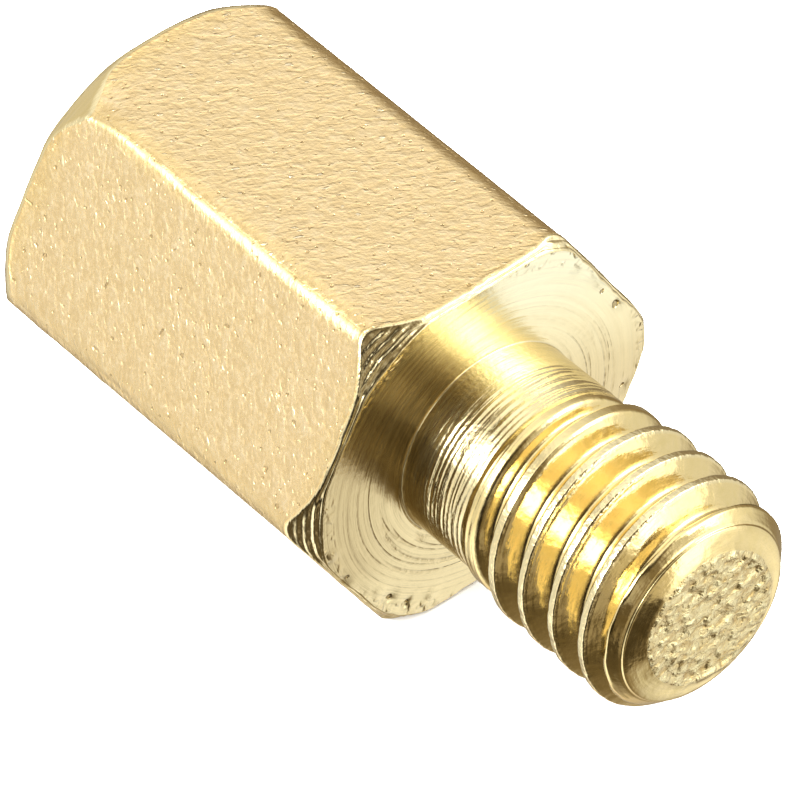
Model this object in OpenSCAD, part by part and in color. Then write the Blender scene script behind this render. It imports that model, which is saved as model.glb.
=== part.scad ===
// Male-female hex standoff, turned from hexagonal brass bar, in millimetres.
// It lies on one flat: axis along X, stud towards +X, top flat towards +Z,
// origin under the middle of its length, on the surface that it lies on.

/* [Hex body] */
// Width across flats
af = 4.0; // [3.6:0.1:6.0]
// Length of the hexagonal body, without the stud
body_l = 5.0; // [4.0:0.5:30.0]
// Depth of the break along each long edge, measured inwards from the sharp corner
edge_break = 0.022; // [0.01:0.002:0.06]
// Radial depth of the chamfer on the corners at the stud end
front_chamfer = 0.18; // [0.05:0.01:0.34]
// Angle of the stud-end chamfer, measured from the axis
front_angle = 40; // [25:1:60]
// Radial depth of the chamfer on the corners at the tapped end
rear_chamfer = 0.23; // [0.05:0.01:0.34]
// Angle of the tapped-end chamfer, measured from the axis
rear_angle = 36; // [25:1:60]

/* [Shoulder] */
// Diameter of the turned ring where the shoulder's seat stops
ring_d = 3.2; // [3.05:0.05:3.3]
// Depth of the turned recess inside that ring
ring_recess = 0.03; // [0.02:0.01:0.1]
// Radius of the fillet at the foot of the stud
root_r = 0.2; // [0.05:0.01:0.25]

/* [Stud] */
// Length of the stud from the shoulder to its end
stud_l = 3.4; // [2.6:0.1:12.0]
// Outside diameter of the stud's thread
thread_d = 2.5; // [2.4:0.05:3.0]
// Diameter of the plain neck between the shoulder and the thread
neck_d = 2.18; // [1.8:0.02:2.18]
// Length of the plain neck
neck_l = 0.9; // [0.3:0.05:1.2]
// Diameter at the rim where the lead-in stops and the end cone starts
rim_d = 2.06; // [1.7:0.02:2.3]
// Diameter of the flat at the very end
tip_d = 1.6; // [1.0:0.05:1.65]
// Length of the lead-in from the thread's outside to the rim
lead_l = 0.22; // [0.1:0.02:0.4]
// Length of the end cone from the rim to the flat end
tip_l = 0.12; // [0.04:0.02:0.3]

/* [Tapped hole] */
// Core diameter of the tapped hole
core_d = 2.05; // [1.8:0.05:2.1]
// Depth of the hole to where its drill point starts
hole_depth = 3.5; // [1.5:0.1:20.0]
// Diameter of the countersink at the mouth
sink_d = 2.7; // [2.3:0.05:3.0]

/* [Hidden] */
$fn = 96;
total_l = body_l + stud_l;
corner_r = af / 2 / cos(30) - edge_break;
front_r = corner_r - front_chamfer;
rear_r = corner_r - rear_chamfer;
front_l = front_chamfer / tan(front_angle);
rear_l = rear_chamfer / tan(rear_angle);
ring_r = ring_d / 2;
floor_l = body_l - ring_recess;
thread_r = thread_d / 2;
neck_r = neck_d / 2;
rim_r = rim_d / 2;
tip_r = tip_d / 2;
core_r = core_d / 2;
sink_r = sink_d / 2;
sink_l = sink_r - core_r;
point_l = core_r / tan(59);
// the web between the hole's drill point and the shoulder stays at least 0.6 thick
hole_l = min(hole_depth, body_l - point_l - 0.6);

// hexagonal bar along +Z with a flat facing +X
module bar(width, length) {
    rotate([0, 0, 30]) cylinder(d = width / cos(30), h = length, $fn = 6);
}

// solid of revolution that breaks the long edges, chamfers both ends and
// leaves a shallow recess inside the shoulder's seat
module turned_envelope() {
    rotate_extrude()
        polygon([[0, 0], [rear_r, 0], [corner_r, rear_l],
                 [corner_r, body_l - front_l], [front_r, body_l],
                 [ring_r, body_l], [ring_r, floor_l], [0, floor_l]]);
}

// fillet at the foot, neck, thread at its outside diameter, lead-in and end cone
module stud() {
    fillet = [for (a = [270 : -15 : 180])
        [neck_r + root_r * (1 + cos(a)), floor_l + root_r * (1 + sin(a))]];
    rotate_extrude()
        polygon(concat(
            [[0, floor_l - 0.3], [neck_r + root_r, floor_l - 0.3]],
            fillet,
            [[neck_r, body_l + neck_l],
             [thread_r, body_l + neck_l + (thread_r - neck_r)],
             [thread_r, total_l - tip_l - lead_l],
             [rim_r, total_l - tip_l], [tip_r, total_l], [0, total_l]]));
}

// blind hole with a countersunk mouth and a drill point
module hole() {
    rotate_extrude()
        polygon([[0, -1], [sink_r + 1, -1], [core_r, sink_l],
                 [core_r, hole_l], [0, hole_l + point_l]]);
}

module hex_standoff() {
    color([0.86, 0.70, 0.40])
    translate([-total_l / 2, 0, af / 2]) rotate([0, 90, 0])
    difference() {
        union() {
            intersection() {
                bar(af, body_l);
                turned_envelope();
            }
            stud();
        }
        hole();
    }
}

hex_standoff();
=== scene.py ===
import math

import bmesh
import bpy
import numpy as np
from mathutils import Matrix, Vector


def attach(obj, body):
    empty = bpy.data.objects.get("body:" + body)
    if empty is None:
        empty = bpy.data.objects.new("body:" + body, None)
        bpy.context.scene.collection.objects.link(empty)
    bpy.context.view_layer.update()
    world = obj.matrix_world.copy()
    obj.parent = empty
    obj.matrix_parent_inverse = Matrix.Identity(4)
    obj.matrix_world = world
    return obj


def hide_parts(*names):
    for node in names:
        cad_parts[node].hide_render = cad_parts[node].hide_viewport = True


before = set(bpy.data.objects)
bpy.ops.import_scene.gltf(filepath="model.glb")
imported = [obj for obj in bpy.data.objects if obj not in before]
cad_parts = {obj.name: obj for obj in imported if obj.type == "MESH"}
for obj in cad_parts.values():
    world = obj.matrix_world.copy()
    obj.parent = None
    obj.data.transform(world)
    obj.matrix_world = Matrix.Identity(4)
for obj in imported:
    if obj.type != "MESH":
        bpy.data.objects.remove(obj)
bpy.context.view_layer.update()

# ------------------------------------------------------------------ sizes, in mm
# Axis along X, at y = 0 and z = AXIS_Z. Angles run from +Z towards +Y.
AXIS_Z = 2.0
X_REAR, X_FACE = -4.2, 0.81
FALL = 0.02  # the shoulder falls away this much for each mm of radius
AF = 4.0
CORNER_R = (0.30, 0.142, 0.16, 0.15, 0.34, 0.27)  # at 30, 90, 150, 210, 270 and 330 degrees
OFF_Y, OFF_Z = 0.069, -0.032  # the turned end runs slightly out of true with the bar
PITCH, MAJOR_R, NECK_R = 0.45, 1.25, 1.105
CREST = 0.93  # phase of the crest, in turns
PI = math.pi
X_END = 4.138  # the cropped end

DRAWN, TURNED, THREAD, CROPPED, BORE, NECK = range(6)
SIDE, FRONT, REAR, STUD, END, HOLE, POINT = range(7)


# ------------------------------------------------------------------ numbers
def step(a, b, x):
    t = np.clip((x - a) / (b - a), 0, 1)
    return t * t * (3 - 2 * t)


def smin(a, b, k):
    return 0.5 * (a + b - np.sqrt((a - b) ** 2 + k * k))


def smax(a, b, k):
    return 0.5 * (a + b + np.sqrt((a - b) ** 2 + k * k))


def lattice(ix, iy, iz, seed):
    h = (ix * 374761393 + iy * 668265263 + iz * 1103515245 + seed * 974634777) & 0xFFFFFFFF
    h = ((h ^ (h >> 13)) * 1274126177) & 0xFFFFFFFF
    h = ((h ^ (h >> 16)) * 668265263) & 0xFFFFFFFF
    return ((h ^ (h >> 15)) & 0xFFFFFF) / float(0xFFFFFF)


def noise(p, seed):
    """Smooth value noise from -1 to 1 at points p (n, 3), one cell a unit."""
    p = np.asarray(p, float)
    i = np.floor(p).astype(np.int64)
    f = p - i
    u = f * f * f * (f * (f * 6 - 15) + 10)
    out = np.zeros(len(p))
    for a in (0, 1):
        for b in (0, 1):
            for c in (0, 1):
                w = (
                    (u[:, 0] if a else 1 - u[:, 0])
                    * (u[:, 1] if b else 1 - u[:, 1])
                    * (u[:, 2] if c else 1 - u[:, 2])
                )
                out += w * lattice(i[:, 0] + a, i[:, 1] + b, i[:, 2] + c, seed)
    return out * 2 - 1


def fbm(p, seed, octaves=3):
    p = np.asarray(p, float)
    return sum(noise(p * 2**k + 17.3 * k, seed + k) * 0.5**k for k in range(octaves))


# ------------------------------------------------------------------ mesh store
points, count = [], 0
faces, face_mat, face_map = [], [], []


def add(x, r, th, oy=0.0, oz=0.0):
    """Adds points at (x, radius, angle) and gives their numbers."""
    global count
    x, r, th = np.broadcast_arrays(*(np.asarray(v, float) for v in (x, r, th)))
    points.append(np.stack([x, oy + r * np.sin(th), oz + r * np.cos(th)], -1).reshape(-1, 3))
    n = points[-1].shape[0]
    count += n
    return np.arange(count - n, count)


def face(idx, mat, uv):
    faces.append([int(i) for i in idx])
    face_mat.append(mat)
    face_map.append(uv)


def bridge(a, b, mat, uv):
    """Quads between two loops of the same number of points."""
    a2, b2 = np.roll(a, -1), np.roll(b, -1)
    for q in zip(a, a2, b2, b):
        face(q, mat, uv)


def zipper(a, ta, b, tb, mat, uv):
    """Triangles between two loops of any number of points, each given with its rising angles."""
    na, nb = len(a), len(b)
    i = j = 0
    shift = int(np.argmin(np.abs(np.angle(np.exp(1j * (tb - ta[0]))))))
    b, tb = np.roll(b, -shift), np.roll(tb, -shift)
    ua = np.unwrap(np.append(ta, ta[0] + 2 * PI))
    ub = np.unwrap(np.append(tb, tb[0] + 2 * PI))
    ub += 2 * PI * np.round((ua[0] - ub[0]) / (2 * PI))
    while i < na or j < nb:
        if j >= nb or (i < na and ua[i + 1] + ua[i] <= ub[j + 1] + ub[j]):
            face((a[i], a[(i + 1) % na], b[j % nb]), mat, uv)
            i += 1
        else:
            face((a[i % na], b[(j + 1) % nb], b[j]), mat, uv)
            j += 1


# ------------------------------------------------------------------ hexagonal body
def hex_columns(per_flat, per_corner):
    """Outline of the bar, (y, z), with rounded corners, from the start of the top flat."""
    pts = []
    for k in range(6):
        a = k * PI / 3
        r = CORNER_R[k]
        low = -(AF / 2 - CORNER_R[k - 1]) * math.tan(PI / 6)
        high = (AF / 2 - r) * math.tan(PI / 6)
        for i in range(per_flat + 1):
            s = math.sin((i / per_flat - 0.5) * PI) * 0.35 + (i / per_flat * 2 - 1) * 0.65
            q = low + (high - low) * (s + 1) / 2
            pts.append((AF / 2 * math.sin(a) + q * math.cos(a), AF / 2 * math.cos(a) - q * math.sin(a)))
        c = (AF / 2 - r) / math.cos(PI / 6)
        for i in range(1, per_corner):
            b = a + PI / 3 * i / per_corner
            pts.append((c * math.sin(a + PI / 6) + r * math.sin(b), c * math.cos(a + PI / 6) + r * math.cos(b)))
    return np.array(pts)


hexa = hex_columns(30, 14)
HY, HZ = hexa[:, 0], hexa[:, 1]
HTH = np.arctan2(HY, HZ)
NB = len(hexa)
seg = np.hypot(np.roll(HY, -1) - HY, np.roll(HZ, -1) - HZ)
HPATH = np.concatenate([[0], np.cumsum(seg)[:-1]])
PERIMETER = seg.sum()


def end_profile(rt, rc, slope, least, inner, outer, marks, n=4, m=6):
    """Rows of (radius, depth below the face) from the face, over the chamfer, to the side of the bar."""
    d = smax(rt - rc, least, 0.03)
    ang = math.atan(slope)
    t1, t2 = inner * math.tan(ang / 2), outer * math.tan((PI / 2 - ang) / 2)
    rows = []
    for i in range(n + 1):
        a = ang * i / n
        rows.append((rt - d - t1 + inner * math.sin(a), inner - inner * math.cos(a) + 0 * rt))
    r1, x1 = rows[-1]
    r2 = rt - outer + outer * math.sin(ang)
    x2 = slope * d + t2 - outer * math.cos(ang)
    for i in range(1, m):
        f = i / m
        r = r1 + (r2 - r1) * f
        h = marks(r, d, f)
        rows.append((r + h * math.sin(ang), x1 + (x2 - x1) * f - h * math.cos(ang)))
    for i in range(n + 1):
        a = ang + (PI / 2 - ang) * i / n
        rows.append((rt - outer + outer * math.sin(a), slope * d + t2 - outer * math.cos(a)))
    return rows


R_SIDE = np.hypot(HY, HZ)


def middle_edge(rho):
    """Radius of the bar with the edge at 330 degrees rounded by rho."""
    a = HTH + PI / 6
    c = (AF / 2 - rho) / math.cos(PI / 6)
    arc = c * np.cos(a) + np.sqrt(np.maximum(rho**2 - (c * np.sin(a)) ** 2, 0))
    flat = AF / 2 / np.cos(PI / 6 - np.abs(a))
    touch = np.abs(a) < PI / 6 - np.arctan((1 - 2 * rho / AF) * math.tan(PI / 6))
    return np.where(np.abs(a) < 0.4, np.where(touch, arc, flat), R_SIDE)



# Front: chamfer, face and stud share the offset axis.
fy, fz = HY - OFF_Y, HZ - OFF_Z
RT_F, TH_F = np.hypot(fy, fz), np.arctan2(fy, fz)
ring_pts = np.stack([np.sin(HTH), np.cos(HTH), np.zeros(NB)], 1)
least_f = 0.038 + 0.010 * fbm(ring_pts * 9, 11) + 0.008 * fbm(ring_pts * 30, 12)
face_rc = 2.107 - 0.010 * np.exp(-(((HTH + PI / 6) / 0.25) ** 2)) + 0.045 * np.exp(-(((HTH - PI / 6) / 0.25) ** 2)) + 0.010 * fbm(ring_pts * 5, 13) + 0.006 * fbm(ring_pts * 22, 14)


def front_marks(r, d, f):
    """Turning marks on the corner chamfers, and a crease along the narrow edges between them."""
    wide = step(0.05, 0.12, d)
    bead = noise(np.concatenate([ring_pts[:, :2] * 26, r[:, None] * 40], 1), 15)
    swing = noise(ring_pts * 5 + 2.0, 16)
    tooth = np.sin(2 * PI * r / 0.056 + 1.2 * swing)
    cut = 0.0105 * tooth * (0.85 + 0.4 * bead) + 0.0030 * bead
    crease = -0.016 * math.exp(-(((f - 0.5) / 0.15) ** 2)) * (0.7 + 0.5 * swing)
    return (wide * cut + (1 - wide) * crease) * min(1.0, 5 * f, 5 * (1 - f))


def face_x(r):
    return X_FACE - FALL * (np.asarray(r) - 1.15)


front = end_profile(RT_F, face_rc, 1 / math.tan(math.radians(40)), np.maximum(least_f, 0.028), 0.024, 0.042, front_marks, m=16)
r_in = front[0][0]
R_FACE_IN = 1.66
rings = []
for f in (0, 0.25, 0.45, 0.60, 0.72, 0.82, 0.90, 0.96):
    r = R_FACE_IN + (r_in - R_FACE_IN) * f
    rings.append((add(face_x(r), r, TH_F, OFF_Y, OFF_Z), TURNED, FRONT))
for k, (r, d) in enumerate(front[:-1]):
    rings.append((add(face_x(r) - d, r, TH_F, OFF_Y, OFF_Z), NECK if k else TURNED, FRONT))

# Rear: its chamfer runs out of true the other way.
REAR_Y, REAR_Z = -0.028, -0.045
ry, rz = middle_edge(0.13) * np.sin(HTH) - REAR_Y, middle_edge(0.13) * np.cos(HTH) - REAR_Z
RT_R, TH_R = np.hypot(ry, rz), np.arctan2(ry, rz)
least_r = np.maximum(0.024 + 0.008 * fbm(ring_pts * 8, 21), 0.018)
rear_rc = 2.057 - 0.010 * np.exp(-(((HTH + PI / 6) / 0.30) ** 2)) + 0.012 * fbm(ring_pts * 5, 22)
rear = end_profile(RT_R, rear_rc, 1 / math.tan(math.radians(36)), least_r, 0.030, 0.085 + 0.13 * step(0.08, 0.20, RT_R - rear_rc),
                   lambda r, d, f: 0.002 * np.sin(2 * PI * r / 0.07) * step(0.05, 0.12, d))
# Sides: from the front chamfer's end to the rear chamfer's end, with a slight burr at both.
x_front, x_rear = face_x(front[-1][0]) - front[-1][1], X_REAR + rear[-1][1]
NEAR = (0.0, 0.007, 0.015, 0.024, 0.035, 0.050, 0.075, 0.110, 0.160)
MIDDLE = 36
side_x = [x_front - q for q in NEAR]
side_x += [x_front - 0.16 + (x_rear - x_front + 0.32) * i / MIDDLE for i in range(1, MIDDLE)]
side_x += [x_rear + q for q in NEAR[::-1]]
corner_w = np.exp(-(np.abs(np.abs((HTH % (PI / 3)) - PI / 6) / 0.055) ** 2))
low_w = np.exp(-(((HTH + PI / 2) / 0.3) ** 2))
burr_f = 0.0060 + 0.0050 * fbm(ring_pts * 7, 32)
burr_r = 0.0035 + 0.0035 * fbm(ring_pts * 6, 33)
for x in side_x:
    q = np.stack([x * 0.9, HY * 1.7, HZ * 1.7], 1)
    near_f, near_r = x_front - x, x - x_rear
    fade = np.minimum(1.0, 3 * np.minimum(near_f, near_r))
    worn = -(0.007 + 0.012 * low_w) * corner_w * (0.5 + 0.5 * fbm(q * 2.6, 31)) * fade + 0.0035 * corner_w * noise(q * 6.5, 34) * fade
    lip = burr_f * np.exp(-(((near_f - 0.020) / 0.017) ** 2)) + burr_r * np.exp(-(((near_r - 0.020) / 0.017) ** 2))
    rho = 0.27 - 0.14 * step(x_front - 0.4, x_rear, x)
    rings.append((add(x, middle_edge(rho) + worn + lip, HTH), DRAWN, SIDE))
for r, d in rear[::-1][1:]:
    rings.append((add(X_REAR + d, r, TH_R, REAR_Y, REAR_Z), NECK, REAR))
r_rin = rear[0][0]
R_REAR_IN = 1.53
for f in np.linspace(1, 0, 6)[1:]:
    rings.append((add(X_REAR, R_REAR_IN + (r_rin - R_REAR_IN) * f, TH_R, REAR_Y, REAR_Z), TURNED, REAR))
for k, (a, b) in enumerate(zip(rings[:-1], rings[1:])):
    bridge(a[0], b[0], b[1] if b[2] != SIDE or a[2] == SIDE else NECK, b[2] if b[2] != SIDE or a[2] == SIDE else FRONT)
body_front, body_rear = rings[0][0], rings[-1][0]


# ------------------------------------------------------------------ threads
def clip_faces(polys, side, xcut):
    """Cuts polygons (lists of point numbers) at x = xcut, keeping x * side > xcut * side."""
    global count
    allp = np.concatenate(points)
    new, cache, extra = [], {}, []
    base = count
    for poly in polys:
        d = [(allp[i][0] - xcut) * side for i in poly]
        if min(d) >= 0:
            new.append(poly)
            continue
        if max(d) <= 0:
            continue
        out = []
        for k, i in enumerate(poly):
            j = poly[(k + 1) % len(poly)]
            di, dj = d[k], d[(k + 1) % len(poly)]
            if di >= 0:
                out.append(i)
            if di * dj < 0:
                key = (min(i, j), max(i, j))
                if key not in cache:
                    t = di / (di - dj)
                    q = allp[i] + (allp[j] - allp[i]) * t
                    q[0] = xcut
                    cache[key] = base + len(extra)
                    extra.append(q)
                out.append(cache[key])
        if len(out) >= 3:
            new.append(out)
    if extra:
        count += len(extra)
        points.append(np.array(extra))
    return new


def helix(xa, xb, phase, ticks, radius, columns, mat, uv, oy, oz):
    """A thread whose rows follow the helix, cut square at xa and xb. Gives the two end loops with their angles."""
    m = len(ticks)
    turns0 = math.floor(xa / PITCH - phase) - 1
    turns1 = math.ceil(xb / PITCH - phase) + 2
    ph = np.concatenate([np.array(ticks) + n for n in range(turns0, turns1 + 1)])
    th = 2 * PI * np.arange(columns) / columns
    x = PITCH * (ph[:, None] + phase - th[None] / (2 * PI))
    for cut in (xa, xb):
        x[np.abs(x - cut) < 0.0015] = cut
    t = np.broadcast_to(th, x.shape)
    ids = add(x, radius(x, t), t, oy, oz).reshape(x.shape)
    polys = []
    rows = len(ph)
    for i in range(rows - 1):
        if x[i + 1].max() < xa - 0.1 or x[i].min() > xb + 0.1:
            continue
        for j in range(columns):
            if j + 1 < columns:
                c, d = ids[i + 1, j + 1], ids[i, j + 1]
            else:
                if i - m < 0:
                    continue
                c, d = ids[i + 1 - m, 0], ids[i - m, 0]
            polys.append([int(ids[i, j]), int(ids[i + 1, j]), int(c), int(d)])
    polys = clip_faces(clip_faces(polys, 1, xa), -1, xb)
    for p in polys:
        face(p, mat, uv)
    allp = np.concatenate(points)
    used = np.array(sorted({i for p in polys for i in p}))
    loops = []
    for cut in (xa, xb):
        on = used[np.abs(allp[used, 0] - cut) < 1e-7]
        a = np.arctan2(allp[on, 1] - oy, allp[on, 2] - oz)
        order = np.argsort(a)
        loops.append((on[order], a[order]))
    return loops


def ridge(x, th, phase, crest, root):
    """Depth below the crest of a 60 degree thread with a flat crest and a rounded root, in mm."""
    t = x / PITCH + th / (2 * PI) - phase
    u = np.abs(t - np.round(t))
    slope = PITCH * math.sqrt(3)
    full = (0.5 - root - crest) * slope
    return smin(smax(0.0, slope * (u - crest), 0.016), full, 0.05), t


def neck_marks(x, th):
    """Feed marks of the neck: an uneven sawtooth helix that grows away from the shoulder."""
    x, th = np.broadcast_arrays(np.asarray(x, float), np.asarray(th, float))
    swing = np.stack([x.ravel() * 5.0, np.sin(th).ravel() * 1.3, np.cos(th).ravel() * 1.3], 1)
    p = x / 0.076 + th / (2 * PI) + 0.75 * noise(swing, 52).reshape(x.shape)
    n = np.floor(p)
    f = p - n
    tooth = np.where(f < 0.63, 0.5 - f / 0.63, (f - 0.63) / 0.37 - 0.5)
    q = np.stack([n.ravel() * 0.77, np.sin(th).ravel() * 1.1, np.cos(th).ravel() * 1.1], 1)
    deep = (0.75 + 0.85 * noise(q, 51)).reshape(x.shape)
    fine = np.stack([x.ravel() * 48, np.sin(th).ravel() * 2.4, np.cos(th).ravel() * 2.4], 1)
    grow = 0.10 + 0.90 * step(0.98, 1.34, x)
    grow = grow * (1 - 0.85 * np.exp(-(((th + 0.69) / 0.26) ** 2) - ((x - 1.51) / 0.24) ** 2))
    return grow * (0.0052 * deep * tooth + 0.0028 * noise(fine, 53).reshape(x.shape))


def stud_radius(x, th):
    h, t = ridge(x, th, CREST, 0.085, 0.075)
    cut = 0.40 + 0.60 * step(1.72, 1.98, x)
    q = np.stack([x.ravel() * 3, np.sin(th).ravel() * 4, np.cos(th).ravel() * 4], 1)
    nick = 0.008 * np.clip(fbm(q * 4.0, 41).reshape(x.shape), -1, 0.3)
    r = MAJOR_R - h * cut + nick * np.exp(-((h / 0.05) ** 2))
    r = smax(r, 0.95 + 0.21 * step(3.83, 3.92, x), 0.012)
    crest_x = PITCH * (np.round(t) + CREST - th / (2 * PI))
    neck = NECK_R + np.clip(crest_x - 1.70, 0, 2) * 0.21 * step(XA, XA + 0.07, x) + neck_marks(x, th) * (1 - step(1.86, 2.06, x))
    lead = MAJOR_R - np.clip(x - 3.806, 0, 1)
    out = smin(r, smin(neck, lead, 0.01), 0.012)
    return np.where(x < XA + 0.002, NECK_R + neck_marks(x, th), np.where(x > 3.971, lead, out))


TICKS = [-0.44, -0.40, -0.36, -0.28, -0.19, -0.115, -0.085, -0.066, -0.048, -0.026, 0.0,
         0.026, 0.048, 0.066, 0.085, 0.115, 0.19, 0.28, 0.36, 0.40, 0.44, 0.5]
NC = 240
XA, XB = 1.74, 3.976
lo_loop, hi_loop = helix(XA, XB, CREST, TICKS, stud_radius, NC, THREAD, STUD, OFF_Y, OFF_Z)

# Shoulder, root and neck
th_c = -PI + 2 * PI * np.arange(NC) / NC
cc = np.stack([np.sin(th_c), np.cos(th_c), np.zeros(NC)], 1)
NN = 180
th_n = -PI + 2 * PI * np.arange(NN) / NN
prof = [(float(face_x(r)), r) for r in (1.635, 1.55, 1.45, 1.35, 1.26, 1.19, 1.15, 1.13, 1.12)]
prof += [(X_FACE + 0.015 - 0.015 * math.cos(a), 1.12 - 0.015 * math.sin(a)) for a in np.radians((22, 45, 68, 90))]
prof += [(x, NECK_R) for x in np.arange(0.836, 1.733, 0.0105)]
stud = []
for x, r in prof:
    wob = neck_marks(x, th_n) * float(step(0.82, 0.87, np.array(x)))
    stud.append(add(x, r + wob, th_n, OFF_Y, OFF_Z))
order = np.argsort(TH_F)
zipper(body_front[order], TH_F[order], stud[0], th_n, TURNED, FRONT)
for k in range(len(stud) - 1):
    x, r = prof[k + 1]
    bridge(stud[k], stud[k + 1], TURNED if x < 0.815 else NECK, FRONT if x < 0.83 else STUD)
zipper(stud[-1], th_n, lo_loop[0], lo_loop[1], NECK, STUD)

# Lead-in, rim and end cone
tip = [(3.986, 1.0700), (3.998, 1.0580), (4.008, 1.0480), (4.014, 1.0400), (4.018, 1.0330), (4.023, 1.0260),
       (4.030, 1.0205), (4.040, 1.0180), (4.048, 1.0150), (4.053, 1.0100), (4.057, 1.0030), (4.064, 0.9870),
       (4.081, 0.9520), (4.099, 0.9120), (4.116, 0.8720), (4.126, 0.8440), (4.132, 0.8240)]
oval = 1 + 0.022 * np.cos(2 * th_c) - 0.060 * np.sin(2 * th_c)
tips = []
for x, r in tip:
    w = step(1.0, 0.84, np.array(r))
    slip = 0.040 * w
    lean = w * (0.022 + 0.028 * np.cos(th_c - 2.36))
    tips.append(add(x - lean + 0.004 * w * fbm(cc * 5, 61), r * (1 + w * (oval - 1)) + 0.010 * w * fbm(cc * 4, 62), th_c,
                    OFF_Y + slip, OFF_Z - slip))
zipper(hi_loop[0], hi_loop[1], tips[0], th_c, THREAD, STUD)
for k in range(len(tips) - 1):
    bridge(tips[k], tips[k + 1], THREAD, END)

# Rough end: rings of about equal triangles, pushed in and out
edge = 0.792 * oval + 0.016 * fbm(cc * 4, 62) + 0.012 * fbm(cc * 14, 63)
prev, prev_th = tips[-1], th_c
GAP = 0.021
radii = np.arange(0.792, 0.012, -GAP)
for k, r0 in enumerate(radii):
    n = max(6, int(round(2 * PI * r0 / GAP)))
    t = -PI + 2 * PI * (np.arange(n) + 0.5 * (k % 2)) / n
    e = np.interp(t, th_c, edge, period=2 * PI)
    r = r0 / 0.792 * e
    y, z = r * np.sin(t), r * np.cos(t)
    u, v = 0.984 * y - 0.177 * z, 0.177 * y + 0.984 * z
    q = np.stack([u * 7.5, v * 11.5, np.zeros(n)], 1)
    bump = 0.0165 * fbm(q, 71, 2) + 0.0035 * fbm(q * 2.1, 73, 1)
    crown = np.stack([np.sin(t), np.cos(t), 0 * t], 1)
    lip = np.exp(-(((r0 - 0.765) / 0.03) ** 2)) * (0.008 * (0.4 + fbm(crown * 3, 75)) + 0.016 * np.exp(-(((t - 0.45) / 0.5) ** 2)) * (0.6 + fbm(crown * 9, 76)))
    x = X_END - 0.022 - 0.028 * r0 / 0.792 * np.cos(t - 2.36) + np.where(k == 0, 0.25, 1.0) * bump + lip
    ids = add(np.minimum(x, 4.2), r, t, OFF_Y + 0.040, OFF_Z - 0.040)
    zipper(prev, prev_th, ids, t, CROPPED, END)
    prev, prev_th = ids, t
centre = add(X_END - 0.022, 0.0, 0.0, OFF_Y + 0.040, OFF_Z - 0.040)[0]
for a, b in zip(prev, np.roll(prev, -1)):
    face((a, b, centre), CROPPED, END)


# Tapped hole
def hole_radius(x, th):
    h, t = ridge(x, th, 0.31, 0.105, 0.07)
    r = 1.238 - h
    deep = 1 - step(-1.55, -1.05, x)
    r = 1.025 + (np.maximum(r, 1.025) - 1.025) * deep
    cone = 1.35 - (x + 4.2)
    return np.where(x < -4.11, cone, np.where(x > -0.86, 1.025, smax(r, cone, 0.012)))


NA = 112
HTICKS = [-0.42, -0.36, -0.26, -0.16, -0.11, -0.07, 0.0, 0.07, 0.11, 0.16, 0.26, 0.36, 0.42, 0.5]
b_lo, b_hi = helix(-4.13, -0.85, 0.31, HTICKS, hole_radius, NA, BORE, HOLE, 0.0, 0.0)
th_a = -PI + 2 * PI * np.arange(NA) / NA
mouth = [(-4.2, 1.395), (-4.2, 1.372), (-4.1975, 1.359), (-4.191, 1.348), (-4.178, 1.331), (-4.15, 1.302)]
mouths = [add(x, r, th_a) for x, r in mouth]
order = np.argsort(TH_R)
zipper(body_rear[order], TH_R[order], mouths[0], th_a, TURNED, REAR)
for k in range(len(mouths) - 1):
    bridge(mouths[k], mouths[k + 1], TURNED, REAR)
zipper(mouths[-1], th_a, b_lo[0], b_lo[1], BORE, REAR)
prev, prev_th = b_hi
for x, r, n in [(-0.80, 1.025, 112), (-0.72, 1.025, 112), (-0.705, 1.0235, 112), (-0.694, 1.018, 112), (-0.68, 0.99, 112),
                (-0.55, 0.775, 84), (-0.42, 0.559, 60), (-0.28, 0.326, 40), (-0.15, 0.11, 20)]:
    t = -PI + 2 * PI * np.arange(n) / n
    ids = add(x, r, t)
    zipper(prev, prev_th, ids, t, BORE, HOLE if x < -0.69 else POINT)
    prev, prev_th = ids, t
centre = add(-0.0845, 0.0, 0.0)[0]
for a, b in zip(prev, np.roll(prev, -1)):
    face((a, b, centre), BORE, POINT)

# ------------------------------------------------------------------ marks of handling
P = np.concatenate(points)


def dent(x, y, z, size, push):
    """Moves the surface near a point by push, in mm, fading over size."""
    w = np.exp(-((P - np.array([x, y, z])) ** 2).sum(1) / size**2)
    P[:] = P + w[:, None] * np.array(push)


# worn corners of the shoulder and of the tapped end, then nicks and burrs round its rim
dent(0.74, 2.26, 0.0, 0.30, (-0.010, -0.036, 0.0))
dent(-3.80, -1.12, 2.00, 0.27, (0.0, -0.030, -0.070))
dent(-4.10, 1.20, 1.95, 0.20, (0.040, -0.045, -0.045))
for y, z, size, d in ((1.79, 0.68, 0.050, -0.022), (1.58, 1.07, 0.045, 0.016), (1.46, 1.26, 0.040, -0.014), (1.85, -0.51, 0.050, -0.018),
                      (-1.93, -0.37, 0.055, 0.018), (-1.80, -0.80, 0.050, -0.018), (-1.26, -1.45, 0.060, -0.022), (-1.38, -1.26, 0.045, 0.014),
                      (-1.05, -1.66, 0.050, -0.020), (-0.73, -1.77, 0.050, 0.016), (1.27, 1.50, 0.045, -0.014), (-1.60, -1.10, 0.040, -0.014)):
    dent(0.79, y, z, 0.9 * size, (1.7 * d, 0.0, 0.0))


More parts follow.
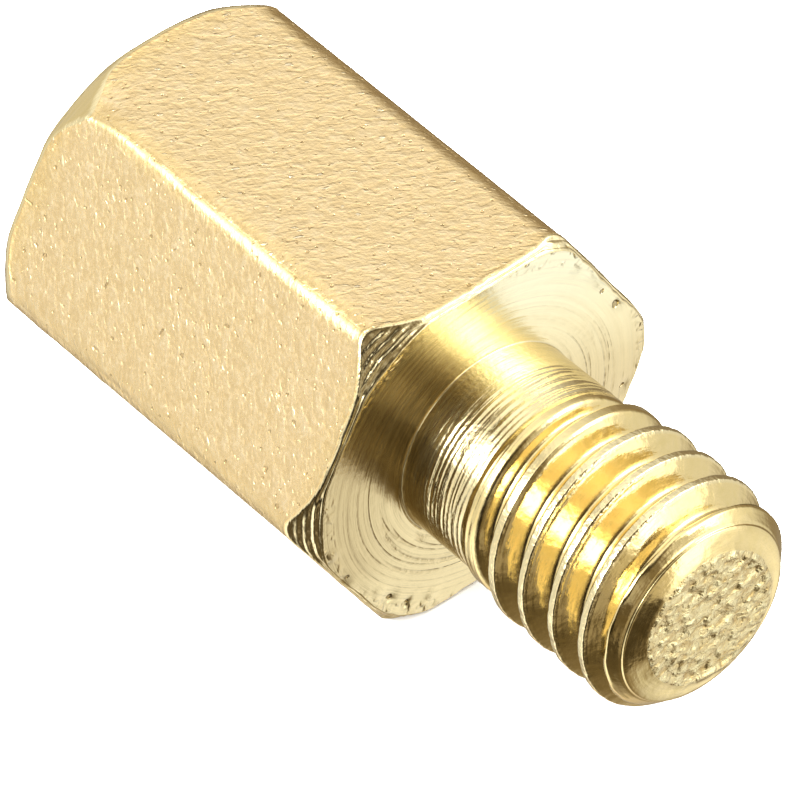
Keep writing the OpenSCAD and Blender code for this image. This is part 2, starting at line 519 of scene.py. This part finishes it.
# ------------------------------------------------------------------ mesh with its map
def atlas(idx, uv):
    """Map places of one face's corners, in mm on a 13.9 mm square."""
    q = P[idx]
    th = np.arctan2(q[:, 1], q[:, 2])
    if uv in (STUD, HOLE):
        if th.max() - th.min() > PI:
            th = np.where(th < 0, th + 2 * PI, th)
        if th.mean() > PI:
            th = th - 2 * PI
        if uv == STUD:
            return np.stack([0.05 + (th + PI + 0.15) * 1.08, 9.75 + q[:, 0] - 0.78], 1)
        return np.stack([7.35 + (th + PI + 0.15) * 0.95, 9.75 + q[:, 0] + 4.2], 1)
    if uv == SIDE:
        th = np.unwrap(th)
        mid = th.mean()
        th = th - 2 * PI * np.round(mid / (2 * PI))
        low = abs(mid - 2 * PI * round(mid / (2 * PI))) > PI / 2
        if low:
            th = np.where(th < 0, th + 2 * PI, th)
        o = np.argsort(HTH)
        path = np.interp(th, np.concatenate([HTH[o] - 2 * PI, HTH[o], HTH[o] + 2 * PI]),
                         np.concatenate([UP[o] - PERIMETER, UP[o], UP[o] + PERIMETER]))
        if low:
            return np.stack([7.0 + path - 0.25 * PERIMETER, 0.1 + q[:, 0] + 4.2], 1)
        return np.stack([0.05 + path + 0.25 * PERIMETER, 0.1 + q[:, 0] + 4.2], 1)
    if uv == FRONT:
        return np.stack([2.4 + q[:, 1], 7.3 + q[:, 2]], 1)
    if uv == REAR:
        return np.stack([7.1 + q[:, 1], 7.3 + q[:, 2]], 1)
    if uv == END:
        return np.stack([10.7 + q[:, 1], 6.3 + q[:, 2]], 1)
    return np.stack([12.8 + q[:, 1] * 0.85, 6.3 + q[:, 2] * 0.85], 1)


UP = HPATH - (AF / 2 - CORNER_R[-1]) * math.tan(PI / 6)  # path length from the middle of the top flat
UP = np.where(UP > PERIMETER / 2, UP - PERIMETER, UP)

used = np.unique(np.concatenate([np.array(f) for f in faces]))
remap = -np.ones(len(P), int)
remap[used] = np.arange(len(used))
mesh = bpy.data.meshes.new("hex_standoff_brass")
mesh.from_pydata([(x / 1000, y / 1000, (z + AXIS_Z) / 1000) for x, y, z in P[used]], [], [[int(remap[i]) for i in f] for f in faces])
mesh.polygons.foreach_set("material_index", np.array(face_mat, np.int32))
mesh.polygons.foreach_set("use_smooth", np.ones(len(faces), bool))
layer = mesh.uv_layers.new(name="OFBake")
layer.data.foreach_set("uv", (np.concatenate([atlas(np.array(f), m) for f, m in zip(faces, face_map)]) / 13.9).astype(np.float32).ravel())
bm = bmesh.new()
bm.from_mesh(mesh)
bmesh.ops.recalc_face_normals(bm, faces=bm.faces)
if bm.calc_volume(signed=True) < 0:
    bmesh.ops.reverse_faces(bm, faces=bm.faces)
bmesh.ops.triangulate(bm, faces=[f for f in bm.faces if len(f.verts) > 4])
bm.to_mesh(mesh)
bm.free()
mesh.update()
part = bpy.data.objects.new("hex_standoff_brass", mesh)
bpy.context.scene.collection.objects.link(part)


# ------------------------------------------------------------------ materials
class Tree:
    """Short calls for a node tree."""

    def __init__(self, tree):
        self.t = tree

    def node(self, kind, **settings):
        n = self.t.nodes.new(kind)
        for k, v in settings.items():
            setattr(n, k, v)
        return n

    def put(self, n, **values):
        for k, v in values.items():
            s = n.inputs[k.replace("_", " ")]
            if isinstance(v, bpy.types.NodeSocket):
                self.t.links.new(v, s)
            else:
                s.default_value = v
        return n

    def math(self, op, *args, clamp=False):
        n = self.node("ShaderNodeMath", operation=op, use_clamp=clamp)
        for s, v in zip(n.inputs, args):
            if isinstance(v, bpy.types.NodeSocket):
                self.t.links.new(v, s)
            else:
                s.default_value = v
        return n.outputs[0]

    def vec(self, op, *args, scale=None):
        n = self.node("ShaderNodeVectorMath", operation=op)
        for s, v in zip(n.inputs, args):
            if isinstance(v, bpy.types.NodeSocket):
                self.t.links.new(v, s)
            else:
                s.default_value = v
        if scale is not None:
            n.inputs["Scale"].default_value = scale
        return n.outputs["Value"] if op in ("LENGTH", "DOT_PRODUCT") else n.outputs["Vector"]

    def range(self, value, a, b, c, d, smooth=False):
        n = self.node("ShaderNodeMapRange", interpolation_type="SMOOTHSTEP" if smooth else "LINEAR")
        self.t.links.new(value, n.inputs["Value"])
        for k, v in zip(("From Min", "From Max", "To Min", "To Max"), (a, b, c, d)):
            n.inputs[k].default_value = v
        return n.outputs["Result"]

    def noise(self, vector, scale, detail=2.0, rough=0.5, w=None, distort=0.0):
        n = self.node("ShaderNodeTexNoise", noise_dimensions="4D" if w is not None else "3D")
        self.t.links.new(vector, n.inputs["Vector"])
        if w is not None:
            self.t.links.new(w, n.inputs["W"])
        n.inputs["Scale"].default_value = scale
        n.inputs["Detail"].default_value = detail
        n.inputs["Roughness"].default_value = rough
        n.inputs["Distortion"].default_value = distort
        return n.outputs["Fac"]

    def join(self, *values):
        n = self.node("ShaderNodeCombineXYZ")
        for s, v in zip(n.inputs, values):
            if isinstance(v, bpy.types.NodeSocket):
                self.t.links.new(v, s)
            else:
                s.default_value = v
        return n.outputs[0]

    def mix(self, fac, a, b, mode="MIX"):
        n = self.node("ShaderNodeMix", data_type="RGBA", blend_type=mode)
        for k, v in (("Factor", fac), ("A", a), ("B", b)):
            if isinstance(v, bpy.types.NodeSocket):
                self.t.links.new(v, n.inputs[k])
            else:
                n.inputs[k].default_value = (*v, 1)
        return n.outputs["Result"]

    def ramp(self, value, stops, mode="LINEAR"):
        n = self.node("ShaderNodeValToRGB")
        n.color_ramp.interpolation = mode
        e = n.color_ramp.elements
        while len(e) < len(stops):
            e.new(0.5)
        for el, (p, c) in zip(e, stops):
            el.position = p
            el.color = (*c, 1) if hasattr(c, "__len__") else (c, c, c, 1)
        self.t.links.new(value, n.inputs["Fac"])
        return n.outputs["Color"]


def brass(name):
    m = bpy.data.materials.new(name)
    m.use_nodes = True
    t = Tree(m.node_tree)
    shader = m.node_tree.nodes["Principled BSDF"]
    shader.inputs["Metallic"].default_value = 1.0
    coord = t.node("ShaderNodeTexCoord")
    mm = t.vec("SCALE", coord.outputs["Object"], scale=1000.0)
    return m, t, shader, mm


def lathe(t, mm, oy, oz, around):
    """(x, radius, cosine) as a vector, the sine, x and radius: marks that run round the axis."""
    v = t.vec("SUBTRACT", mm, (0.0, oy, AXIS_Z + oz))
    flat = t.vec("MULTIPLY", v, (0.0, 1.0, 1.0))
    r = t.vec("LENGTH", flat)
    n = t.node("ShaderNodeSeparateXYZ")
    t.t.links.new(t.vec("NORMALIZE", flat), n.inputs[0])
    s = t.node("ShaderNodeSeparateXYZ")
    t.t.links.new(v, s.inputs[0])
    vec = t.join(s.outputs["X"], r, t.math("MULTIPLY", n.outputs["Z"], around))
    return vec, t.math("MULTIPLY", n.outputs["Y"], around), s.outputs["X"], r


def flat_frame(t, mm):
    """Along the bar, across a flat, the flat's number, and the distance from its edges, in mm."""
    v = t.node("ShaderNodeSeparateXYZ")
    t.t.links.new(t.vec("SUBTRACT", mm, (0.0, 0.0, AXIS_Z)), v.inputs[0])
    x, y, z = (v.outputs[i] for i in range(3))
    th = t.math("ARCTAN2", y, z)
    k = t.math("ROUND", t.math("MULTIPLY", th, 3 / PI))
    phi = t.math("SUBTRACT", th, t.math("MULTIPLY", k, PI / 3))
    r = t.math("SQRT", t.math("ADD", t.math("MULTIPLY", y, y), t.math("MULTIPLY", z, z)))
    s = t.math("MULTIPLY", r, t.math("SINE", phi))
    e = t.math("SUBTRACT", AF / 2 * math.tan(PI / 6), t.math("ABSOLUTE", s))
    return x, s, t.math("WRAP", k, 6.0, 0.0), e


def relief(t, shader, heights, strength=1.0):
    """Stacks bumps: (height socket, depth in mm), a negative depth for hollows."""
    last = None
    for h, depth in heights:
        b = t.node("ShaderNodeBump", invert=depth < 0)
        b.inputs["Strength"].default_value = strength
        b.inputs["Distance"].default_value = abs(depth) / 1000
        t.t.links.new(h, b.inputs["Height"])
        if last is not None:
            t.t.links.new(last, b.inputs["Normal"])
        last = b.outputs["Normal"]
    t.t.links.new(last, shader.inputs["Normal"])


def tint(t, shader, value, a, b):
    """Base colour from a to b along a 0-1 value."""
    t.t.links.new(t.ramp(value, [(0.25, a), (0.75, b)]), shader.inputs["Base Color"])


# drawn flats: satin, with short streaks, raised flecks that are also painted paler as glints, and small pits, brighter
# yellow along worn edges
m0, t, sh, mm = brass("brass_drawn")
x, across, number, e = flat_frame(t, mm)
turned = t.math("ADD", t.math("MULTIPLY", number, math.radians(14)), math.radians(53))
ca, sa = t.math("COSINE", turned), t.math("SINE", turned)
p = t.math("ADD", t.math("MULTIPLY", x, ca), t.math("MULTIPLY", across, sa))
q = t.math("SUBTRACT", t.math("MULTIPLY", across, ca), t.math("MULTIPLY", x, sa))
level = t.math("MULTIPLY", number, 3.17)
n_streak = t.noise(t.join(t.math("MULTIPLY", p, 6.0), t.math("MULTIPLY", q, 13.5), level), 1.0, 2.0, 0.5, distort=0.9)
n_lump = t.noise(mm, 11.0, 2.0, 0.5)
n_fleck = t.noise(t.join(t.math("MULTIPLY", p, 7.0), t.math("MULTIPLY", q, 15.0), level), 1.0, 1.0, 0.5)
n_grain = t.noise(mm, 26.0, 2.0, 0.55)
n_large = t.noise(mm, 1.6, 2.0, 0.5)
n_pit = t.noise(mm, 17.0, 0.0, 0.5)
pit = t.range(n_pit, 0.74, 0.84, 0.0, 1.0, True)
soft = t.range(t.math("COMPARE", number, 5.0, 0.3), 0.0, 1.0, 1.0, 0.40)  # the flat below the middle edge is smoother
fleck_and_glint = t.math("MULTIPLY", t.range(n_fleck, 0.67, 0.76, 0.0, 1.0, True), soft)
ends = t.math("MAXIMUM", t.range(x, 0.40, 0.72, 0.0, 1.0), t.range(x, -4.02, -3.78, 1.0, 0.0))
worn = t.math("MULTIPLY", t.math("MAXIMUM", t.range(e, 0.03, 0.24, 1.0, 0.0), ends), t.range(n_large, 0.3, 0.7, 0.45, 1.0))
calm = t.math("MULTIPLY", soft, t.range(e, 0.02, 0.16, 0.35, 1.0))
relief(t, sh, [(n_large, 0.010), (t.math("MULTIPLY", n_streak, calm), 0.0145), (t.math("MULTIPLY", n_lump, calm), 0.0090),
               (t.math("MULTIPLY", n_grain, calm), 0.0048), (fleck_and_glint, 0.0050), (pit, -0.0060)])
col = t.ramp(n_streak, [(0.28, (0.85, 0.635, 0.325)), (0.5, (0.92, 0.705, 0.380)), (0.72, (0.98, 0.785, 0.470))])
col = t.mix(t.range(n_grain, 0.3, 0.7, 0.32, 0.0), col, (0.80, 0.57, 0.26))
# raised flecks, painted paler as glints
col = t.mix(t.math("MULTIPLY", fleck_and_glint, 0.6), col, (1.0, 0.90, 0.66))
col = t.mix(t.math("MULTIPLY", pit, 0.6), col, (0.60, 0.40, 0.17))
col = t.mix(t.math("MULTIPLY", worn, 0.75), col, (1.0, 0.965, 0.78), "MULTIPLY")
t.t.links.new(col, sh.inputs["Base Color"])
t.t.links.new(t.range(n_grain, 0.3, 0.7, 0.22, 0.31), sh.inputs["Roughness"])

# turned faces: fine rings, thin arcs round the stud, a ragged rim, and nicks; painted light makes them paler towards
# the top, and painted shade darkens a band across the middle, a patch on the left and the nicks
m1, t, sh, mm = brass("brass_turned")
lv, lw, x, r = lathe(t, mm, OFF_Y, OFF_Z, 0.05)
n_ring = t.noise(lv, 15.0, 3.0, 0.55, w=lw)
n_fine = t.noise(lv, 42.0, 2.0, 0.5, w=lw)
n_arc = t.noise(lv, 7.5, 1.0, 0.5, w=lw)
n_spot = t.noise(mm, 11.0, 2.0, 0.5)
n_rag = t.noise(mm, 8.5, 1.0, 0.5)
n_zone = t.noise(mm, 1.2, 0.0, 0.5)
arc = t.range(t.math("ABSOLUTE", t.math("SUBTRACT", n_arc, 0.5)), 0.0, 0.050, 1.0, 0.0, True)
up = t.node("ShaderNodeSeparateXYZ")
t.t.links.new(mm, up.inputs[0])
arc = t.math("MULTIPLY", arc, t.math("MULTIPLY", t.range(r, 1.58, 1.70, 1.0, 0.30), t.range(n_spot, 0.35, 0.6, 0.35, 1.0)))
arc = t.math("MULTIPLY", arc, t.range(up.outputs["Z"], 1.4, 2.8, 1.0, 0.22))
nick = None
for y, z, size in ((1.77, 0.67, 0.040), (1.83, -0.50, 0.030), (1.60, 0.98, 0.026), (-1.24, -1.43, 0.036), (-1.03, -1.64, 0.030), (-1.76, -0.78, 0.026)):
    away = t.math("ADD", t.vec("LENGTH", t.vec("SUBTRACT", mm, (0.79, y, AXIS_Z + z))), t.math("MULTIPLY", n_rag, 0.05))
    spot = t.range(away, 0.025 + 0.5 * size, 0.025 + 1.2 * size, 1.0, 0.0, True)
    nick = spot if nick is None else t.math("MAXIMUM", nick, spot)
rim = t.math("MULTIPLY", t.range(r, 1.92, 2.04, 0.0, 1.0, True), t.range(n_rag, 0.44, 0.74, 0.0, 1.0, True))
rim = t.math("MULTIPLY", rim, t.range(n_zone, 0.40, 0.56, 0.15, 1.0))
relief(t, sh, [(n_ring, 0.0052), (n_fine, 0.0016), (n_spot, 0.0020), (arc, -0.0060), (rim, 0.0130), (nick, -0.0220)])
# painted light and shade: the face is paler towards the top, with a darker band across the middle
painted_light_height = t.math("ADD", up.outputs["Z"], t.math("MULTIPLY", up.outputs["Y"], 0.65))
painted_light_height = t.math("SUBTRACT", painted_light_height, t.math("MULTIPLY", t.math("ABSOLUTE", up.outputs["Y"]), 0.35))
col = t.ramp(t.range(painted_light_height, 0.1, 3.9, 0.0, 1.0), [(0.0, (0.83, 0.70, 0.395)), (0.38, (0.82, 0.68, 0.380)), (0.52, (0.72, 0.585, 0.325)), (0.64, (0.77, 0.64, 0.360)), (0.80, (0.95, 0.85, 0.53)), (1.0, (0.99, 0.95, 0.68))])
# painted shade: a darker patch on the left side of the face
painted_shade_left = t.math("MULTIPLY", t.range(up.outputs["Y"], -1.80, -0.80, 0.70, 0.0, True), t.range(up.outputs["Z"], 0.7, 1.3, 0.0, 1.0, True))
col = t.mix(painted_shade_left, col, (0.50, 0.385, 0.185))
col = t.mix(t.range(n_ring, 0.25, 0.75, 0.30, 0.0), col, (0.82, 0.67, 0.36))
col = t.mix(t.math("MULTIPLY", arc, 0.45), col, (0.55, 0.42, 0.20))
col = t.mix(t.math("MULTIPLY", rim, 0.35), col, (0.70, 0.52, 0.24))
# painted shade darkens the nicks
col = t.mix(t.math("MULTIPLY", nick, 0.7), col, (0.40, 0.28, 0.11))
t.t.links.new(col, sh.inputs["Base Color"])
t.t.links.new(t.range(n_fine, 0.3, 0.7, 0.17, 0.26), sh.inputs["Roughness"])

# neck and chamfers: the rings are in the shape, with finer ones here
m5, t, sh, mm = brass("brass_ringed")
lv, lw, x, r = lathe(t, mm, OFF_Y, OFF_Z, 0.05)
n_ring = t.noise(lv, 20.0, 2.5, 0.55, w=lw)
n_fine = t.noise(lv, 46.0, 2.0, 0.5, w=lw)
n_spot = t.noise(mm, 16.0, 2.0, 0.5)
polish = t.range(t.vec("LENGTH", t.vec("SUBTRACT", mm, (1.50, -0.635, 2.82))), 0.14, 0.36, 0.15, 1.0, True)
relief(t, sh, [(t.math("MULTIPLY", n_ring, polish), 0.0052), (t.math("MULTIPLY", n_fine, polish), 0.0022), (n_spot, 0.0040)])
tint(t, sh, n_ring, (0.88, 0.735, 0.40), (0.94, 0.80, 0.465))
t.t.links.new(t.range(n_fine, 0.3, 0.7, 0.13, 0.23), sh.inputs["Roughness"])

# thread: polished flanks, bruised crests that are also painted paler as a highlight
m2, t, sh, mm = brass("brass_thread")
lv, lw, x, r = lathe(t, mm, OFF_Y, OFF_Z, 0.08)
n_ring = t.noise(lv, 22.0, 2.0, 0.5, w=lw)
n_spot = t.noise(mm, 9.0, 2.5, 0.5)
n_bead = t.noise(mm, 19.0, 1.5, 0.5)
crest = t.range(r, 1.205, 1.235, 0.0, 1.0)
relief(t, sh, [(n_ring, 0.0024), (n_spot, 0.0050), (t.math("MULTIPLY", n_bead, crest), 0.0090)])
col = t.ramp(n_spot, [(0.25, (0.89, 0.705, 0.310)), (0.75, (0.93, 0.745, 0.365))])
# bruised crests, painted paler as a highlight
col = t.mix(t.math("MULTIPLY", crest, 0.8), col, (0.93, 0.80, 0.47))
t.t.links.new(col, sh.inputs["Base Color"])
t.t.links.new(t.range(n_spot, 0.3, 0.7, 0.11, 0.20), sh.inputs["Roughness"])

# cropped end: torn in low scales, with painted shade in their hollows and painted light on their tops
m3, t, sh, mm = brass("brass_cropped")
v = t.node("ShaderNodeSeparateXYZ")
t.t.links.new(mm, v.inputs[0])
long = t.math("SUBTRACT", t.math("MULTIPLY", v.outputs["Y"], 0.984), t.math("MULTIPLY", v.outputs["Z"], 0.177))
short = t.math("ADD", t.math("MULTIPLY", v.outputs["Y"], 0.177), t.math("MULTIPLY", v.outputs["Z"], 0.984))
n_a = t.noise(t.join(t.math("MULTIPLY", long, 8.5), t.math("MULTIPLY", short, 12.5), v.outputs["X"]), 1.0, 2.0, 0.5, distort=0.5)
n_b = t.noise(mm, 30.0, 2.0, 0.5)
relief(t, sh, [(n_a, 0.027), (n_b, 0.0070)])
# painted shade and light: brown in the hollows of the scales, pale on their tops
tint(t, sh, n_a, (0.58, 0.400, 0.145), (1.0, 0.900, 0.520))
t.t.links.new(t.range(n_b, 0.3, 0.7, 0.22, 0.34), sh.inputs["Roughness"])

# tapped hole
m4, t, sh, mm = brass("brass_bore")
lv, lw, x, r = lathe(t, mm, 0.0, 0.0, 0.05)
n_ring = t.noise(lv, 16.0, 2.0, 0.5, w=lw)
n_spot = t.noise(mm, 9.0, 2.0, 0.5)
relief(t, sh, [(n_ring, 0.0025), (n_spot, 0.0030)])
tint(t, sh, n_ring, (0.88, 0.725, 0.39), (0.93, 0.78, 0.45))
t.t.links.new(t.range(n_spot, 0.3, 0.7, 0.16, 0.28), sh.inputs["Roughness"])

for m in (m0, m1, m2, m3, m4, m5):
    part.data.materials.append(m)

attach(part, "root")
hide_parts("hex_standoff")

# ------------------------------------------------------------------ floor
floor_mesh = bpy.data.meshes.new("floor")
S = 3.0
floor_mesh.from_pydata([(-S, -S, 0), (S, -S, 0), (S, S, 0), (-S, S, 0)], [], [(0, 1, 2, 3)])
floor = bpy.data.objects.new("floor", floor_mesh)
floor.location = (0, 0, -1e-5)
bpy.context.scene.collection.objects.link(floor)
fm = bpy.data.materials.new("floor_white")
fm.use_nodes = True
fs = fm.node_tree.nodes["Principled BSDF"]
fs.inputs["Base Color"].default_value = (0.93, 0.93, 0.93, 1)
fs.inputs["Roughness"].default_value = 0.9
fs.inputs["Specular IOR Level"].default_value = 0.0
floor_mesh.materials.append(fm)
floor.visible_glossy = False

# ------------------------------------------------------------------ light
world = bpy.data.worlds.new("studio")
bpy.context.scene.world = world
world.use_nodes = True
w = Tree(world.node_tree)
for n in list(world.node_tree.nodes):
    world.node_tree.nodes.remove(n)
coord = w.node("ShaderNodeTexCoord")
sep = w.node("ShaderNodeSeparateXYZ")
world.node_tree.links.new(coord.outputs["Generated"], sep.inputs[0])
psi = w.math("ARCTAN2", sep.outputs["Y"], sep.outputs["Z"])
turn = w.range(psi, -PI, PI, 0.0, 1.0)
TOP = 8.0  # radiance of a full ramp


def around(stops):
    """Ramp stops from (degrees, radiance). The dim parts of the room are warm."""
    out = []
    for a, v in stops:
        k = min(1.0, max(0.0, (v - 0.15) / 0.6))
        out.append(((a + 180) / 360, [v / TOP * (c + (1 - c) * k) for c in (1.0, 0.76, 0.42)]))
    return out


# radiance round the X axis, degrees from +Z towards +Y: behind the part in two steps, in front of it in three, and a lamp
back_side = around([(-180, 0.42), (-166, 0.54), (-150, 0.80), (-134, 0.95), (-118, 0.94), (-102, 0.88), (-92, 0.84), (-84, 0.84), (-76, 0.98),
                    (-70, 1.5), (-64, 3.2), (-45, 3.5), (-38, 2.1), (-31, 1.1), (-22, 0.70), (-12, 0.85), (0, 1.10), (10, 1.25), (25, 1.06),
                    (41, 0.92), (57, 0.72), (73, 0.50), (90, 0.30), (105, 0.26), (121, 0.30), (137, 0.34), (160, 0.36), (180, 0.42)])
far_side = around([(-180, 0.42), (-150, 0.70), (-118, 0.86), (-84, 0.84), (-64, 1.00), (-45, 1.10), (-22, 0.80), (0, 1.05), (25, 1.00), (57, 0.70),
                   (90, 0.34), (137, 0.34), (180, 0.42)])
front_side = around([(-180, 0.25), (-166, 0.17), (-150, 0.11), (-132, 0.08), (-110, 0.03), (-85, 0.025), (-58, 0.045), (-40, 0.05), (-28, 0.05),
                     (-10, 0.14), (2, 0.40), (12, 1.0), (22, 2.2), (32, 4.2), (40, 5.4), (50, 4.4), (61, 2.9), (73, 1.5), (80, 1.10),
                     (90, 0.94), (105, 0.82), (121, 0.84), (136, 0.98), (143, 1.14), (149, 1.24), (156, 1.00), (163, 0.72), (172, 0.40), (180, 0.25)])
mid_side = around([(-180, 0.07), (-166, 0.06), (-152, 0.12), (-140, 0.34), (-130, 0.42), (-118, 0.26), (-105, 0.15), (-94, 0.12), (-80, 0.12), (-68, 0.62), (-50, 0.50), (-28, 0.16),
                   (-14, 0.20), (0, 0.50), (20, 0.7), (40, 0.9), (60, 1.3), (81, 1.9), (95, 1.75), (110, 1.3), (125, 1.0), (148, 1.0), (163, 0.46), (172, 0.14), (180, 0.07)])
end_side = around([(-180, 0.07), (-166, 0.06), (-150, 0.06), (-138, 0.15), (-122, 0.46), (-100, 0.46), (-84, 0.36), (-70, 0.26), (-40, 0.24), (-28, 0.22),
                   (-14, 0.26), (0, 0.6), (20, 2.2), (40, 3.6), (60, 2.6), (81, 2.0), (95, 2.4), (110, 2.6), (125, 2.0), (148, 1.1), (163, 0.40), (172, 0.14), (180, 0.07)])
lamp = around([(-180, 0.40), (-150, 0.75), (-125, 0.68), (-105, 0.34), (-75, 0.05), (-67, 0.0), (-60, 7.0), (-43, 7.0), (-36, 0.6), (-20, 0.40), (0, 0.45),
               (15, 0.40), (30, 0.10), (50, 0.0), (150, 0.0), (180, 0.40)])


def blend(lo, hi, a, b, mode="MIX"):
    """From a to b as X goes from lo to hi."""
    n = w.node("ShaderNodeMix", data_type="RGBA", blend_type=mode)
    world.node_tree.links.new(w.range(sep.outputs["X"], lo, hi, 0.0, 1.0, True), n.inputs["Factor"])
    for socket, v in ((n.inputs["A"], a), (n.inputs["B"], b)):
        if isinstance(v, bpy.types.NodeSocket):
            world.node_tree.links.new(v, socket)
        else:
            socket.default_value = (*(c / TOP for c in v), 1)
    return n.outputs["Result"]


back_part = blend(-0.60, -0.68, w.ramp(turn, back_side), w.ramp(turn, far_side))
back_part = blend(-0.80, -0.97, back_part, (0.74, 0.68, 0.55))
back_part = blend(-0.50, -0.38, back_part, blend(-0.09, 0.03, w.ramp(turn, lamp), (0.0, 0.0, 0.0)), "ADD")
front_part = blend(0.60, 0.66, w.ramp(turn, front_side), blend(0.80, 0.88, w.ramp(turn, mid_side), w.ramp(turn, end_side)))
front_part = blend(0.965, 0.995, front_part, (0.66, 0.59, 0.46))
last = blend(-0.10, 0.30, back_part, front_part)
sky = w.node("ShaderNodeBackground")
world.node_tree.links.new(last, sky.inputs["Color"])
sky.inputs["Strength"].default_value = TOP
plain = w.node("ShaderNodeBackground")
plain.inputs["Color"].default_value = (1, 1, 1, 1)
plain.inputs["Strength"].default_value = 1.05
path = w.node("ShaderNodeLightPath")
pick = w.node("ShaderNodeMixShader")
world.node_tree.links.new(path.outputs["Is Camera Ray"], pick.inputs[0])
world.node_tree.links.new(sky.outputs[0], pick.inputs[1])
world.node_tree.links.new(plain.outputs[0], pick.inputs[2])
out = w.node("ShaderNodeOutputWorld")
world.node_tree.links.new(pick.outputs[0], out.inputs["Surface"])

sun_data = bpy.data.lights.new("overhead", "SUN")
sun_data.energy = 17.0
sun_data.angle = math.radians(110)
sun = bpy.data.objects.new("overhead", sun_data)
sun.rotation_euler = (math.radians(12), math.radians(-10), 0)
sun.visible_glossy = False
bpy.context.scene.collection.objects.link(sun)

# ------------------------------------------------------------------ camera
AZ, EL, ROLL = math.radians(53.0726), math.radians(44.4693), math.radians(-3.4701)
FOCAL_PX, DIST, OX, OY = 9466.88, 95.044, 314.629, 299.788
back = Vector((math.sin(AZ) * math.cos(EL), -math.cos(AZ) * math.cos(EL), math.sin(EL)))
right = Vector((math.cos(AZ), math.sin(AZ), 0))
up = back.cross(right)
rt = right * math.cos(ROLL) + up * math.sin(ROLL)
ut = -right * math.sin(ROLL) + up * math.cos(ROLL)
cam_data = bpy.data.cameras.new("camera")
cam = bpy.data.objects.new("camera", cam_data)
bpy.context.scene.collection.objects.link(cam)
cam.location = (Vector((-1.8, 0, AXIS_Z)) + back * DIST) / 1000
forward = (-back + rt * ((393.5 - OX) / FOCAL_PX) - ut * ((397.5 - OY) / FOCAL_PX)).normalized()
side = forward.cross(ut).normalized()
top = side.cross(forward)
cam.rotation_mode = "QUATERNION"
cam.rotation_quaternion = Matrix((side, top, -forward)).transposed().to_quaternion()
cam_data.sensor_width = 36.0
cam_data.lens = FOCAL_PX / 795 * 36
cam_data.clip_start, cam_data.clip_end = 0.005, 50.0
cam_data.dof.use_dof = False
bpy.context.scene.camera = cam
bpy.context.scene.view_settings.view_transform = "Standard"
bpy.context.scene.view_settings.look = "None"
